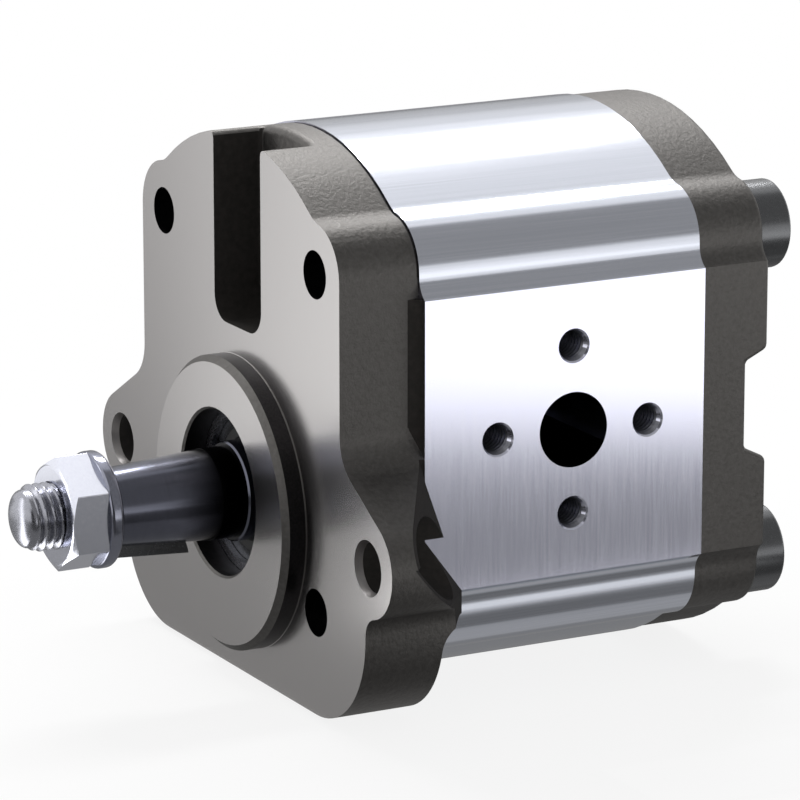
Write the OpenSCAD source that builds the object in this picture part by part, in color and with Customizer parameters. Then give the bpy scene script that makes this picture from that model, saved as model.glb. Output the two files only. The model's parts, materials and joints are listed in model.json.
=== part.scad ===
// External gear pump with a two-ear mounting flange and a tapered drive shaft.
// X points to the pressure side, Y runs from the flange face to the rear, Z is up.
// The origin is on the locating spigot's axis, in the plane of the flange face.

/* [Housing] */
// Distance between the through bolts across the pump
bolt_span_x = 60; // [59:0.5:61]
// Distance between the through bolts up the pump
bolt_span_z = 60; // [59:0.5:62]
// Radius of the corner lobe around each through bolt
lobe_r = 9.4; // [9:0.1:10]
// How much higher the rounded top of the housing is than its lobes
crown_rise = 10.1; // [9.5:0.1:11.5]
// Radius of the hollow between a lobe and the crown
waist_r = 7; // [5:0.5:9]
// How far a machined port face stands out beside the lobes
port_step = 2.1; // [1.5:0.1:3]
// Radius of the hollow that leads from a lobe to a port face
sill_r = 4.5; // [3:0.5:6]
// Length of the pump body between the covers
body_l = 55.7; // [54:0.1:60]
// How far the cast outlines of the covers stay inside the body outline
cast_inset = 0.3; // [0.1:0.1:0.6]

/* [Ports] */
// Diameter of the pressure port
pressure_d = 13.5; // [12:0.5:16]
// Diameter of the circle of threaded holes round the pressure port
pressure_pcd = 30; // [28:1:36]
// Diameter of the suction port
suction_d = 20; // [15:0.5:20]
// Diameter of the circle of threaded holes round the suction port
suction_pcd = 40; // [36:1:42]
// Depth of the wide part of a port, before the passage to the gears
port_depth = 22; // [20:0.5:22.5]
// How much narrower the passage to the gears is, in radius
port_neck = 1; // [0.5:0.1:2]
// Core diameter of the threaded holes round the pressure port
pressure_core_d = 5; // [4.2:0.1:5.5]
// Core diameter of the threaded holes round the suction port
suction_core_d = 6.8; // [5:0.1:6.8]
// Depth of the countersink at the mouth of a threaded port hole
port_thread_mouth = 0.6; // [0.3:0.1:0.8]
// Depth of the threaded port holes
port_thread_depth = 13; // [10:0.5:14]

/* [Front cover] */
// Height of the drive shaft's axis above the spigot's axis
shaft_rise = 2; // [0:0.1:3]
// Thickness of the front cover
cover_t = 15.2; // [14.5:0.1:18]
// Diameter of the locating spigot
pilot_d = 53; // [50:0.5:54]
// Height of the locating spigot
pilot_h = 4.3; // [3.5:0.1:6]
// Chamfer on the edge of the locating spigot
pilot_chamfer = 1.1; // [0.5:0.1:1.5]
// Distance between the two mounting holes
ear_spacing = 98.8; // [98.4:0.1:104]
// Diameter of a mounting hole
ear_hole_d = 9; // [8.4:0.1:9.4]
// Diameter of the lead-in at the mouth of a mounting hole
ear_mouth_d = 9.9; // [9.6:0.1:11]
// Depth of the lead-in of a mounting hole
ear_mouth_depth = 1.4; // [0.5:0.1:2]
// Radius of the rounded end of an ear
ear_r = 8.8; // [8.4:0.1:9.5]
// Slope of the upper edge of an ear
ear_slope = 30; // [25:1:35]
// Radius of the hollow above an ear
ear_fillet_r = 8; // [5:0.5:9]
// Thickness of an ear at its tip
ear_tip_t = 5.4; // [4.5:0.1:5.8]
// Thickness of an ear at the bolt seat behind its mounting hole
ear_seat_t = 6; // [5.5:0.1:8]
// Diameter of the bolt seat behind a mounting hole
ear_seat_d = 14.8; // [14.2:0.1:15.2]
// How far the lower rib of an ear reaches past the cover
rib_reach = 7.1; // [4:0.1:8]
// Height of the step between the two ribs of an ear, above the spigot's axis
rib_step_z = 1.2; // [-1:0.1:2]
// How far the underside of the lower rib is below the spigot's axis
rib_low = 12.5; // [10:0.5:13.5]
// Radius of the hollow between the lower rib and the back of the cover
rib_blend_r = 5; // [4:0.5:8]
// Radius of the two lower corners of the flange
corner_r = 18.5; // [17.5:0.5:19.5]
// Radius of the hollow below an ear
heel_r = 4; // [3:0.5:5]
// Width of the slot in the top of the flange
slot_w = 18.6; // [14:0.2:22]
// Depth of the slot from the flange face
slot_depth = 9.5; // [6:0.1:10]
// Height of the slot's floor above the spigot's axis
slot_floor_z = 31.6; // [30:0.2:36]
// Radius of the slot's lower corners
slot_corner_r = 4.6; // [3:0.1:6]
// Radius of the hollow where the slot's sides meet its back
slot_hollow_r = 1; // [0.5:0.1:1.5]

/* [Rear cover] */
// Thickness of the rear cover
rear_t = 13.5; // [12:0.1:16]
// Depth of the pockets in the rear cover
pocket_depth = 4.4; // [3:0.1:6]
// Height of a pocket at its floor
pocket_h = 15.8; // [12:0.2:20]
// How far a pocket reaches in from the side
pocket_reach = 17; // [12:0.5:20]
// Draft of the pocket walls
pocket_draft = 25; // [10:1:35]

/* [Through bolts] */
// Thread diameter of the through bolts
bolt_d = 10; // [9.6:0.1:10.2]
// Core diameter of the tapped holes in the front cover
bolt_core_d = 8.5; // [8:0.1:8.8]
// Length of bolt thread that the front cover takes
bolt_engagement = 10.8; // [9:0.1:12]
// Diameter of a bolt head
bolt_head_d = 16; // [15:0.5:17]
// Height of a bolt head
bolt_head_h = 6.5; // [6:0.5:10]
// Width of the hexagon socket
bolt_socket_w = 8; // [6:0.5:9]
// Depth of the hexagon socket
bolt_socket_depth = 3.8; // [3:0.1:4.5]

/* [Gears] */
// Distance between the drive and driven shaft axes
gear_a = 30.2; // [29.6:0.1:31]
// Number of teeth on each gear
teeth = 12; // [10:2:14]
// Width of the gears
gear_w = 20; // [18:0.5:21]
// Tooth height as a share of the module
tooth_depth = 2.25; // [2.1:0.01:2.25]
// Sideways play between the meshing teeth
backlash = 0.16; // [0.08:0.02:0.3]
// Gap between the tooth tips and the body
tip_gap = 0.25; // [0.15:0.01:0.35]

/* [Bearings and seals] */
// Diameter of the journals
journal_d = 18; // [17:0.5:18.5]
// Radial running gap between a journal and its bush
journal_gap = 0.04; // [0.02:0.01:0.08]
// Wall of a bearing bush
bush_wall = 1; // [0.8:0.1:1.2]
// How far a bearing bush stays back from the gear side of its block
bush_setback = 0.8; // [0.5:0.1:1.5]
// How far a bearing bush stops short of the cover side of its block
bush_stop = 3.4; // [3:0.1:5]
// Length of the front bearing block
front_block_l = 19.15; // [18.5:0.05:20]
// Gap between a bearing block and the body around it
block_gap = 0.04; // [0.02:0.01:0.08]
// Gap between a bearing block and the cover behind it
block_end_gap = 0.1; // [0.05:0.01:0.2]
// Running gap between the gear faces and the bearing blocks
gear_side_gap = 0.05; // [0.03:0.01:0.1]
// Width of the groove for a body seal
body_seal_w = 2.6; // [2:0.1:3]
// Depth of the groove for a body seal
body_seal_t = 1.6; // [1.2:0.1:2]
// Width of the groove for a pressure seal
pressure_seal_w = 2.6; // [2.2:0.1:3]
// Depth of the groove for a pressure seal
pressure_seal_t = 2.4; // [2:0.1:3]
// Outer diameter of the shaft seal
seal_d = 30; // [29.5:0.1:30.5]
// Length of the shaft seal
seal_l = 7; // [6.5:0.1:7.5]
// Thickness of the retaining ring
circlip_t = 1.2; // [1:0.1:1.4]
// How far the retaining ring reaches into its groove
circlip_bite = 0.6; // [0.4:0.05:0.8]
// Diameter of the dowel pins
dowel_d = 6; // [5:0.5:6.5]
// Length of the dowel pins
dowel_l = 12; // [10:0.5:13]

/* [Drive shaft end] */
// How far the journal stands out of the flange face
journal_out = 2.4; // [1:0.1:3.5]
// Length of the neck between the journal and the taper
neck_l = 4.6; // [3:0.1:6]
// Length of the taper
taper_l = 20; // [18:0.1:22]
// Diameter of the taper at its small end
taper_small_d = 13.8; // [13.4:0.1:14.4]
// Length of taper over which its diameter grows by one
taper_ratio = 8; // [8:1:16]
// Diameter of the threaded stud
stud_d = 12; // [11:0.5:12.4]
// How far the stud stands out of the nut
stud_out = 7.1; // [5:0.1:12]
// Height of the stud's domed end
stud_dome_h = 2.4; // [1.5:0.1:3]
// Width across the flats of the nut
nut_w = 18; // [17:0.5:19]
// Height of the nut
nut_h = 6.9; // [6:0.1:8]
// Outer diameter of the lock washer
washer_d = 20.8; // [19:0.1:21.5]
// Thickness of the lock washer
washer_t = 2.5; // [2:0.1:3]
// Width of the key
key_w = 4; // [3:0.5:4]
// Diameter of the disc that the key is cut from
key_disc_d = 16; // [14:0.5:16]
// Height of the key
key_h = 6.5; // [5.5:0.1:6.5]
// How far the key stands out of the taper
key_out = 1.8; // [1.4:0.1:2.2]

/* [Hidden] */
$fn = 72;
// Step in degrees between the points of an outline's arcs
arc_step = 5;
// Small overlap that lets a cut run past the face it starts from
past = 1;

cast_iron = "#3f3d3b";
extruded_aluminium = "#b4b8c0";
bearing_aluminium = "#9a9ca0";
shaft_steel = "#4a4c56";
bolt_steel = "#3c3f42";
zinc = "#a4a6b2";
bronze = "#9c7a4a";
black_rubber = "#1c1c1e";
white_plastic = "#e2dfd4";

// Stations along the pump
body_y = cover_t;
rear_y = body_y + body_l;
back_y = rear_y + rear_t;
gear_y = body_y + block_end_gap + front_block_l + gear_side_gap;
port_y = gear_y + gear_w / 2;
front_block_y = body_y + block_end_gap;
rear_block_y = gear_y + gear_w + gear_side_gap;
rear_block_l = rear_y - block_end_gap - rear_block_y;

// Places across the pump
driven_z = shaft_rise + gear_a;
mid_z = (shaft_rise + driven_z) / 2;
bolt_x = bolt_span_x / 2;
bolt_top_z = mid_z + bolt_span_z / 2;
bolt_low_z = mid_z - bolt_span_z / 2;
port_x = bolt_x + lobe_r + port_step;
crown_r = bolt_span_z / 2 + lobe_r + crown_rise;
sill_turn = acos(1 - port_step / sill_r);
sill_top_z = bolt_top_z - 0.2;
face_top_z = sill_top_z - sill_r * sin(sill_turn);
face_low_z = 2 * mid_z - face_top_z;
ear_x = ear_spacing / 2;
ear_side_gap = 0.3;
// Half as wide as the flange over both ears, so it spans any cut through one
ear_span = ear_x + ear_r;
// Directions that the slanted backs of an ear face, above and below its hole
upper_back_turn = 50;
upper_back_tilt = 15.4;
lower_back_turn = 58;
lower_back_tilt = 32.5;
rib_end_turn = 54.2;

// Gear teeth: involutes cut at twenty degrees and spread to the shaft distance
cut_angle = 20;
mesh_angle = 27.3;
gear_module = gear_a * cos(mesh_angle) / (teeth * cos(cut_angle));
pitch_r = gear_module * teeth / 2;
base_r = pitch_r * cos(cut_angle);
profile_shift = teeth * (involute(mesh_angle) - involute(cut_angle)) / (2 * tan(cut_angle));
root_r = pitch_r - gear_module * (1.25 - profile_shift);
tip_r = root_r + gear_module * tooth_depth;
tooth_thickness = gear_module * (PI / 2 + 2 * profile_shift * tan(cut_angle)) - backlash / 2;
flank_steps = 7;

// The chamber for the gears and what is fitted in it
chamber_r = tip_r + tip_gap;
block_r = chamber_r - block_gap;
journal_r = journal_d / 2;
bush_r = journal_r + journal_gap + bush_wall;
shaft_end_gap = 1;
relief_w = 5;
relief_depth = 1.5;

// Seals
body_seal_land = 1.8;
body_seal_r = chamber_r + body_seal_land;
seal_side_gap = 0.1;
pressure_seal_join = 0.3;
strip_split_r = gear_a / 2 + seal_side_gap + pressure_seal_join;
pressure_seal_r = strip_split_r + pressure_seal_w / 2;
seal_open_x = -3;
seal_r = seal_d / 2;
seal_fit = 0.02;
lip_gap = 0.05;
circlip_y = 0.4;
circlip_play = 0.1;
circlip_w = 2.3;
seal_y = circlip_y + circlip_t + circlip_play;
seal_floor_y = seal_y + seal_l + seal_fit;
seal_bore_chamfer = 0.4;
shaft_passage_gap = 0.8;
spring_r = 0.55;
case_t = 1;
web_r = journal_r + 2.2;
// The seal's lip hangs from the web of its case by a thin wall and ends in a thicker head
dust_lip = 0.4;
lip_wall = 0.8;
lip_root = 3.2;
lip_neck = 1.7;
lip_head_t = 2.2;
lip_head_y = 3.8;
lip_edge_y = 4.7;
lip_l = 6;
drain_d = 3;

// Fits of the fasteners
bolt_hole_gap = 0.3;
core_gap = 0.05;
dowel_gap = 0.01;
dowel_x = 31;
dowel_rise = 16;

// The shaft end
neck_y = -journal_out - neck_l;
taper_y = neck_y - taper_l;
taper_big_d = taper_small_d + taper_l / taper_ratio;
neck_d = taper_big_d + 0.1;
washer_y = taper_y - washer_t;
nut_y = washer_y - nut_h;
stud_y = nut_y - stud_out;
stud_r = stud_d / 2;
thread_gap = 0.02;
stud_chamfer = 0.8;
journal_chamfer = 0.3;
key_tilt = atan(0.5 / taper_ratio);
key_y = taper_y + 8.2;
key_surface_r = taper_small_d / 2 + (key_y - taper_y) * tan(key_tilt);
key_gap = 0.01;

function involute(a) = tan(a) - a * PI / 180;
function polar(c, r, a) = [c[0] + r * cos(a), c[1] + r * sin(a)];
function bearing(a, b) = atan2(b[1] - a[1], b[0] - a[0]);
function arc(c, r, a0, a1) =
    let (n = max(2, ceil(abs(a1 - a0) / arc_step)))
    [for (i = [0:n]) polar(c, r, a0 + (a1 - a0) * i / n)];
function flip_x(p) = [for (i = [len(p) - 1:-1:0]) [-p[i][0], p[i][1]]];
function flip_z(p) = [for (i = [len(p) - 1:-1:0]) [p[i][0], 2 * mid_z - p[i][1]]];

// Centre of a circle of radius r that touches two circles from outside.
// side picks the left or right of the line from the first circle to the second.
function nestle(c1, r1, c2, r2, r, side) =
    let (d = norm(c2 - c1), a = r1 + r, b = r2 + r)
    let (x = (a * a - b * b + d * d) / (2 * d), h = sqrt(a * a - x * x), u = (c2 - c1) / d)
    c1 + u * x + side * h * [-u[1], u[0]];

// A lobe, the hollow beside it and half of the crown, from the side up to the middle
function lobe_and_crown(inset) =
    let (lobe = [bolt_x, bolt_top_z], mid = [0, mid_z], r1 = lobe_r - inset, r2 = crown_r - inset)
    let (w = nestle(mid, r2, lobe, r1, waist_r, 1))
    let (a1 = bearing(lobe, w), a2 = bearing(mid, w))
    concat(arc(lobe, r1, 0, a1), arc(w, waist_r, a1 - 180, a2 - 180), arc(mid, r2, a2, 90));

// A quarter of the body outline, from the port face up to the top
function body_quarter(inset) =
    let (c = [bolt_x + lobe_r - inset + sill_r, sill_top_z])
    concat(arc(c, sill_r, 180 + sill_turn, 180), lobe_and_crown(inset));

function body_points(inset) =
    let (q = body_quarter(inset))
    let (half = concat(flip_z(q), q))
    concat(half, flip_x(half));

// Half of the flange outline, from the bottom, round an ear and up to the top
function flange_half(inset) =
    let (side_x = bolt_x + lobe_r - inset)
    let (low = [bolt_x, bolt_low_z], ear = [ear_x, 0])
    let (heel = nestle(low, corner_r, ear, ear_r, heel_r, -1))
    let (a1 = bearing(low, heel), a2 = bearing(ear, heel), a3 = 90 - ear_slope)
    let (t = polar(ear, ear_r, a3), px = side_x + ear_fillet_r)
    let (pz = t[1] + (ear_fillet_r - (px - t[0]) * cos(a3)) / sin(a3))
    concat(
        arc(low, corner_r, -90, a1),
        arc(heel, heel_r, a1 + 180, a2 + 180),
        arc(ear, ear_r, a2, a3),
        arc([px, pz], ear_fillet_r, a3 + 180, 180),
        lobe_and_crown(inset)
    );

function flange_points(inset) =
    let (half = flange_half(inset))
    concat(half, flip_x(half));

// Angle that half a tooth covers at radius r, in degrees
function half_tooth(r) =
    let (a = acos(min(1, base_r / r)))
    (tooth_thickness / (2 * pitch_r) + involute(cut_angle) - involute(a)) * 180 / PI;

function tooth_points(turn) =
    let (low = max(base_r, root_r))
    let (rise = [for (i = [0:flank_steps]) low + (tip_r - low) * i / flank_steps])
    concat(
        [polar([0, 0], root_r, turn - half_tooth(low) - 1.2)],
        [for (i = [0:flank_steps]) polar([0, 0], rise[i], turn - half_tooth(rise[i]))],
        [for (i = [flank_steps:-1:0]) polar([0, 0], rise[i], turn + half_tooth(rise[i]))],
        [polar([0, 0], root_r, turn + half_tooth(low) + 1.2)]
    );

// A flat outline in X and Z, given thickness along Y from y
module plate(y, t) {
    translate([0, y + t, 0])
        rotate([90, 0, 0])
            linear_extrude(t) children();
}

// A round bar or hole along Y, starting at y
module rod(y, l, d, x = 0, z = 0, d2 = undef) {
    translate([x, y, z])
        rotate([-90, 0, 0])
            cylinder(h = l, d1 = d, d2 = is_undef(d2) ? d : d2);
}

// A turned shape about the Y axis, from points of radius and y
module turned(points, z = 0) {
    translate([0, 0, z])
        rotate([-90, 0, 0])
            rotate_extrude() polygon(points);
}

module at_bolts() {
    for (x = [-bolt_x, bolt_x], z = [bolt_low_z, bolt_top_z])
        translate([x, 0, z]) children();
}

module at_dowels() {
    for (s = [-1, 1])
        translate([s * dowel_x, 0, mid_z + s * dowel_rise]) children();
}

// Two equal circles, one round each gear axis
module eight(r) {
    for (z = [shaft_rise, driven_z])
        translate([0, z]) circle(r);
}

// Everything beyond a plane through p whose normal has the given azimuth and elevation
module beyond(p, azimuth, elevation) {
    reach = 2 * ear_span;
    translate(p)
        rotate([0, -elevation, azimuth])
            translate([0, -reach / 2, -reach / 2]) cube(reach);
}

// The slanted back of one ear, which leaves an upper rib and a lower rib beside the hole
module ear_back() {
    tip = [ear_span, ear_tip_t, 0];
    start_x = port_x - cast_inset;
    rib_end = [port_x + ear_side_gap, cover_t + rib_reach, 0];
    intersection() {
        beyond(tip, upper_back_turn, upper_back_tilt);
        translate([start_x, 0, rib_step_z]) cube(ear_span);
    }
    intersection() {
        union() {
            beyond(tip, lower_back_turn, lower_back_tilt);
            beyond(rib_end, rib_end_turn, 0);
        }
        translate([start_x, 0, rib_step_z - ear_span]) cube(ear_span);
    }
    translate([start_x, cover_t + rib_blend_r, -rib_low - rib_blend_r])
        rotate([0, 90, 0]) cylinder(h = ear_span, r = rib_blend_r);
    rod(ear_seat_t, ear_span, ear_seat_d, ear_x, 0);
}

// The part of an ear that reaches back beside the body
module ear_ribs() {
    low_z = -rib_low - rib_blend_r;
    plate(cover_t - past, rib_reach + past)
        intersection() {
            polygon(flange_points(cast_inset));
            translate([port_x + ear_side_gap, low_z]) square(ear_span);
        }
}

// The hollow edge that widens the cover to meet the port face
module port_lip() {
    side_x = bolt_x + lobe_r - cast_inset;
    front_y = cover_t - port_step;
    translate([0, 0, face_low_z])
        linear_extrude(face_top_z - face_low_z)
            polygon(concat(
                [[side_x - past, cover_t], [side_x - past, front_y]],
                arc([side_x + port_step, front_y], port_step, 180, 90)
            ));
}

module slot() {
    w = slot_w / 2 - slot_corner_r;
    z = slot_floor_z + slot_corner_r;
    top = mid_z + crown_r + past;
    right = concat(arc([w, z], slot_corner_r, -90, 0), [[slot_w / 2, top]]);
    hollow = [slot_w / 2 - slot_hollow_r, slot_depth - slot_hollow_r];
    back = concat([[slot_w / 2, -past]], arc(hollow, slot_hollow_r, 0, 90));
    intersection() {
        plate(-past, slot_depth + past) polygon(concat(right, flip_x(right)));
        linear_extrude(top) polygon(concat(back, flip_x(back)));
    }
}

module front_cover() {
    pilot_r = pilot_d / 2;
    color(cast_iron)
        difference() {
            union() {
                plate(0, cover_t) polygon(flange_points(cast_inset));
                for (s = [0, 1]) mirror([s, 0, 0]) ear_ribs();
                turned([
                    [0, past], [pilot_r, past], [pilot_r, pilot_chamfer - pilot_h],
                    [pilot_r - pilot_chamfer, -pilot_h], [0, -pilot_h]
                ]);
                for (s = [0, 1]) mirror([s, 0, 0]) port_lip();
            }
            for (s = [0, 1]) mirror([s, 0, 0]) {
                ear_back();
                rod(-past, ear_span, ear_hole_d, ear_x, 0);
                rod(0, ear_mouth_depth, ear_mouth_d, ear_x, 0, ear_hole_d);
            }
            slot();
            turned([
                [0, -pilot_h - past], [seal_r + seal_bore_chamfer + past, -pilot_h - past],
                [seal_r, seal_bore_chamfer - pilot_h], [seal_r, circlip_y - circlip_play],
                [seal_r + circlip_bite + circlip_play, circlip_y - circlip_play],
                [seal_r + circlip_bite + circlip_play, seal_y],
                [seal_r, seal_y], [seal_r, seal_floor_y],
                [journal_r + shaft_passage_gap, seal_floor_y],
                [journal_r + shaft_passage_gap, cover_t + past], [0, cover_t + past]
            ], shaft_rise);
            at_bolts() rod(-past, cover_t + 2 * past, bolt_core_d);
            at_dowels() rod(cover_t - dowel_l / 2, dowel_l, dowel_d + 2 * dowel_gap);
            rod(seal_floor_y - past, cover_t, drain_d, -(seal_r - drain_d / 2 - past), shaft_rise);
        }
}

// One port with its four threaded holes, on the side that s points to
module port(s, d, pcd, core_d) {
    core_r = core_d / 2;
    translate([0, port_y, mid_z]) {
        rotate([0, s * 90, 0]) {
            cylinder(h = port_x, d = d - 2 * port_neck);
            translate([0, 0, port_x - port_depth]) cylinder(h = port_depth + past, d = d);
        }
        for (a = [0:90:270])
            rotate([a, 0, 0])
                translate([0, pcd / 2, 0])
                    rotate([0, s * 90, 0]) {
                        translate([0, 0, port_x - port_thread_depth])
                            cylinder(h = port_thread_depth + past, r = core_r);
                        translate([0, 0, port_x - port_thread_mouth])
                            cylinder(h = port_thread_mouth, r1 = core_r, r2 = core_r + port_thread_mouth);
                    }
    }
}

module pump_body() {
    color(extruded_aluminium)
        difference() {
            plate(body_y, body_l) polygon(body_points(0));
            plate(body_y - past, body_l + 2 * past) eight(chamber_r);
            for (y = [body_y - past, rear_y - body_seal_t])
                plate(y, body_seal_t + past)
                    difference() {
                        eight(body_seal_r + body_seal_w);
                        eight(body_seal_r);
                    }
            port(1, pressure_d, pressure_pcd, pressure_core_d);
            port(-1, suction_d, suction_pcd, suction_core_d);
            at_bolts() rod(body_y - past, body_l + 2 * past, bolt_d + 2 * bolt_hole_gap);
            for (y = [body_y, rear_y])
                at_dowels() rod(y - dowel_l / 2, dowel_l, dowel_d + 2 * dowel_gap);
        }
}

// Pocket in the side of the rear cover, with drafted walls
module rear_pocket() {
    low = pocket_h / 2;
    high = low + (pocket_depth + past) * tan(pocket_draft);
    translate([port_x - pocket_reach, 0, mid_z])
        rotate([90, 0, 90])
            linear_extrude(pocket_reach + past)
                polygon([
                    [back_y - pocket_depth, -low], [back_y + past, -high],
                    [back_y + past, high], [back_y - pocket_depth, low]
                ]);
}

module rear_cover() {
    color(cast_iron)
        difference() {
            plate(rear_y, rear_t) polygon(body_points(cast_inset));
            for (s = [0, 1]) mirror([s, 0, 0]) rear_pocket();
            at_bolts() rod(rear_y - past, rear_t + 2 * past, bolt_d + 2 * bolt_hole_gap);
            at_dowels() rod(rear_y - dowel_l / 2, dowel_l, dowel_d + 2 * dowel_gap);
        }
}

module through_bolts() {
    thread_d = bolt_core_d - 2 * core_gap;
    color(bolt_steel)
        at_bolts()
            difference() {
                union() {
                    rod(cover_t - bolt_engagement, bolt_engagement + past, thread_d);
                    rod(cover_t, back_y - cover_t + past, bolt_d);
                    rod(back_y, bolt_head_h, bolt_head_d);
                }
                translate([0, back_y + bolt_head_h - bolt_socket_depth, 0])
                    rotate([-90, 0, 0])
                        cylinder(h = bolt_socket_depth + past, r = bolt_socket_w / sqrt(3), $fn = 6);
            }
}

module dowel_pins(y) {
    color(shaft_steel)
        at_dowels() rod(y - dowel_l / 2 + dowel_gap, dowel_l - 2 * dowel_gap, dowel_d);
}

module front_dowel_pins() { dowel_pins(body_y); }
module rear_dowel_pins() { dowel_pins(rear_y); }

module body_seal(y) {
    color(black_rubber)
        plate(y, body_seal_t)
            difference() {
                eight(body_seal_r + body_seal_w - seal_side_gap);
                eight(body_seal_r + seal_side_gap);
            }
}

module front_body_seal() { body_seal(body_y); }
module rear_body_seal() { body_seal(rear_y - body_seal_t); }

// Outline shaped like a three, open towards the suction side
module three(outer_r, inner_r) {
    difference() {
        eight(outer_r);
        eight(inner_r);
        translate([-2 * outer_r, shaft_rise - 2 * outer_r])
            square([2 * outer_r + seal_open_x, gear_a + 4 * outer_r]);
    }
}

// A bearing block; groove_y is where its seal groove starts and face_y its gear side
module bearing_block(y, l, groove_y, face_y) {
    color(bearing_aluminium)
        difference() {
            plate(y, l) eight(block_r);
            for (z = [shaft_rise, driven_z]) rod(y - past, l + 2 * past, 2 * bush_r, 0, z);
            plate(groove_y, pressure_seal_t + past)
                three(pressure_seal_r, pressure_seal_r - pressure_seal_w);
            for (s = [-1, 1])
                translate([s * relief_w - relief_w / 2, face_y - relief_depth, mid_z - relief_w / 2])
                    cube([relief_w, 2 * relief_depth, relief_w]);
        }
}

module front_bearing_block() {
    bearing_block(front_block_y, front_block_l, front_block_y - past, front_block_y + front_block_l);
}

module rear_bearing_block() {
    end_y = rear_block_y + rear_block_l;
    bearing_block(rear_block_y, rear_block_l, end_y - pressure_seal_t, rear_block_y);
}

module bush(y, l, z) {
    color(bronze)
        difference() {
            rod(y, l, 2 * bush_r, 0, z);
            rod(y - past, l + 2 * past, journal_d + 2 * journal_gap, 0, z);
        }
}

front_bush_y = front_block_y + bush_stop;
front_bush_l = front_block_l - bush_stop - bush_setback;
rear_bush_y = rear_block_y + bush_setback;
rear_bush_l = rear_block_l - bush_stop - bush_setback;
module drive_front_bush() { bush(front_bush_y, front_bush_l, shaft_rise); }
module drive_rear_bush() { bush(rear_bush_y, rear_bush_l, shaft_rise); }
module driven_front_bush() { bush(front_bush_y, front_bush_l, driven_z); }
module driven_rear_bush() { bush(rear_bush_y, rear_bush_l, driven_z); }

module seal_strip(y, outer_r, inner_r) {
    plate(y, pressure_seal_t) three(outer_r - seal_side_gap, inner_r);
}

rear_groove_y = rear_block_y + rear_block_l - pressure_seal_t;
module front_pressure_seal() {
    color(black_rubber) seal_strip(front_block_y, pressure_seal_r, strip_split_r);
}
module rear_pressure_seal() {
    color(black_rubber) seal_strip(rear_groove_y, pressure_seal_r, strip_split_r);
}
backup_inner_r = pressure_seal_r - pressure_seal_w + seal_side_gap;
module front_backup_ring() {
    color(white_plastic) seal_strip(front_block_y, strip_split_r, backup_inner_r);
}
module rear_backup_ring() {
    color(white_plastic) seal_strip(rear_groove_y, strip_split_r, backup_inner_r);
}

module shaft_seal_case() {
    r = seal_r - seal_fit;
    color(shaft_steel)
        turned([
            [web_r, seal_y], [r, seal_y], [r, seal_y + seal_l], [r - case_t, seal_y + seal_l],
            [r - case_t, seal_y + case_t], [web_r, seal_y + case_t]
        ], shaft_rise);
}

module shaft_seal_lip() {
    r = journal_r + lip_gap;
    y = seal_y;
    color(black_rubber)
        turned([
            [r, y + dust_lip], [r + dust_lip, y], [web_r, y], [web_r, y + case_t],
            [r + lip_root, y + case_t], [r + lip_root, y + case_t + lip_wall],
            [r + lip_neck, y + case_t + lip_wall], [r + lip_neck, y + lip_head_y - dust_lip],
            [r + lip_head_t, y + lip_head_y], [r + lip_head_t, y + lip_l],
            [r + lip_head_t / 2, y + lip_l], [r, y + lip_edge_y],
            [r + lip_wall, y + lip_head_y - lip_wall], [r + lip_wall, y + case_t + dust_lip]
        ], shaft_rise);
}

module garter_spring() {
    color(zinc)
        translate([0, seal_y + (lip_head_y + lip_l) / 2, shaft_rise])
            rotate([-90, 0, 0])
                rotate_extrude()
                    translate([journal_r + lip_gap + lip_head_t + spring_r, 0]) circle(spring_r);
}

// Inner retaining ring with two holed lugs beside its gap
module seal_circlip() {
    outer = seal_r + circlip_bite;
    inner = outer - circlip_w;
    lug_r = 1.7;
    lug_at = outer - circlip_w - 0.5;
    half_gap = 14;
    color(bolt_steel)
        plate(circlip_y, circlip_t)
            translate([0, shaft_rise]) difference() {
                union() {
                    difference() {
                        circle(outer);
                        circle(inner);
                        polygon([
                            [0, 0], polar([0, 0], 2 * outer, 180 - half_gap),
                            polar([0, 0], 2 * outer, 180 + half_gap)
                        ]);
                    }
                    for (s = [-1, 1]) translate(polar([0, 0], lug_at, 180 + s * (half_gap + 4))) circle(lug_r);
                }
                for (s = [-1, 1]) translate(polar([0, 0], lug_at, 180 + s * (half_gap + 4))) circle(0.8);
            }
}

// Teeth along Y, turned so that the first tooth points at the given angle
module gear_teeth(z, turn) {
    translate([0, gear_y + gear_w, z])
        rotate([90, 0, 0])
            linear_extrude(gear_w)
                polygon([for (i = [0:teeth - 1]) each tooth_points(turn + i * 360 / teeth)]);
}

module key_disc(gap) {
    r = key_disc_d / 2 + gap;
    lift = key_disc_d / 2 - key_h;
    translate([0, key_y, shaft_rise - key_surface_r - key_out])
        rotate([-key_tilt, 0, 0])
            intersection() {
                translate([-key_w / 2 - gap, 0, -lift])
                    rotate([0, 90, 0]) cylinder(h = key_w + 2 * gap, r = r);
                translate([-key_w, -key_disc_d, 0]) cube([2 * key_w, 2 * key_disc_d, key_disc_d]);
            }
}

module drive_gear_shaft() {
    end_y = rear_y - block_end_gap - shaft_end_gap;
    dome_r = stud_r - stud_chamfer;
    dome = [for (a = [0:15:75]) [dome_r * sin(a), stud_y + stud_dome_h * (1 - cos(a))]];
    color(shaft_steel)
        difference() {
            union() {
                turned(concat(dome, [
                    [dome_r, stud_y + stud_dome_h], [stud_r, stud_y + stud_dome_h + stud_chamfer],
                    [stud_r, taper_y], [taper_small_d / 2, taper_y], [taper_big_d / 2, neck_y],
                    [neck_d / 2, neck_y], [neck_d / 2, -journal_out],
                    [journal_r - journal_chamfer, -journal_out],
                    [journal_r, journal_chamfer - journal_out],
                    [journal_r, end_y - past], [journal_r - past, end_y], [0, end_y]
                ]), shaft_rise);
                gear_teeth(shaft_rise, 90);
            }
            key_disc(key_gap);
        }
}

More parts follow.
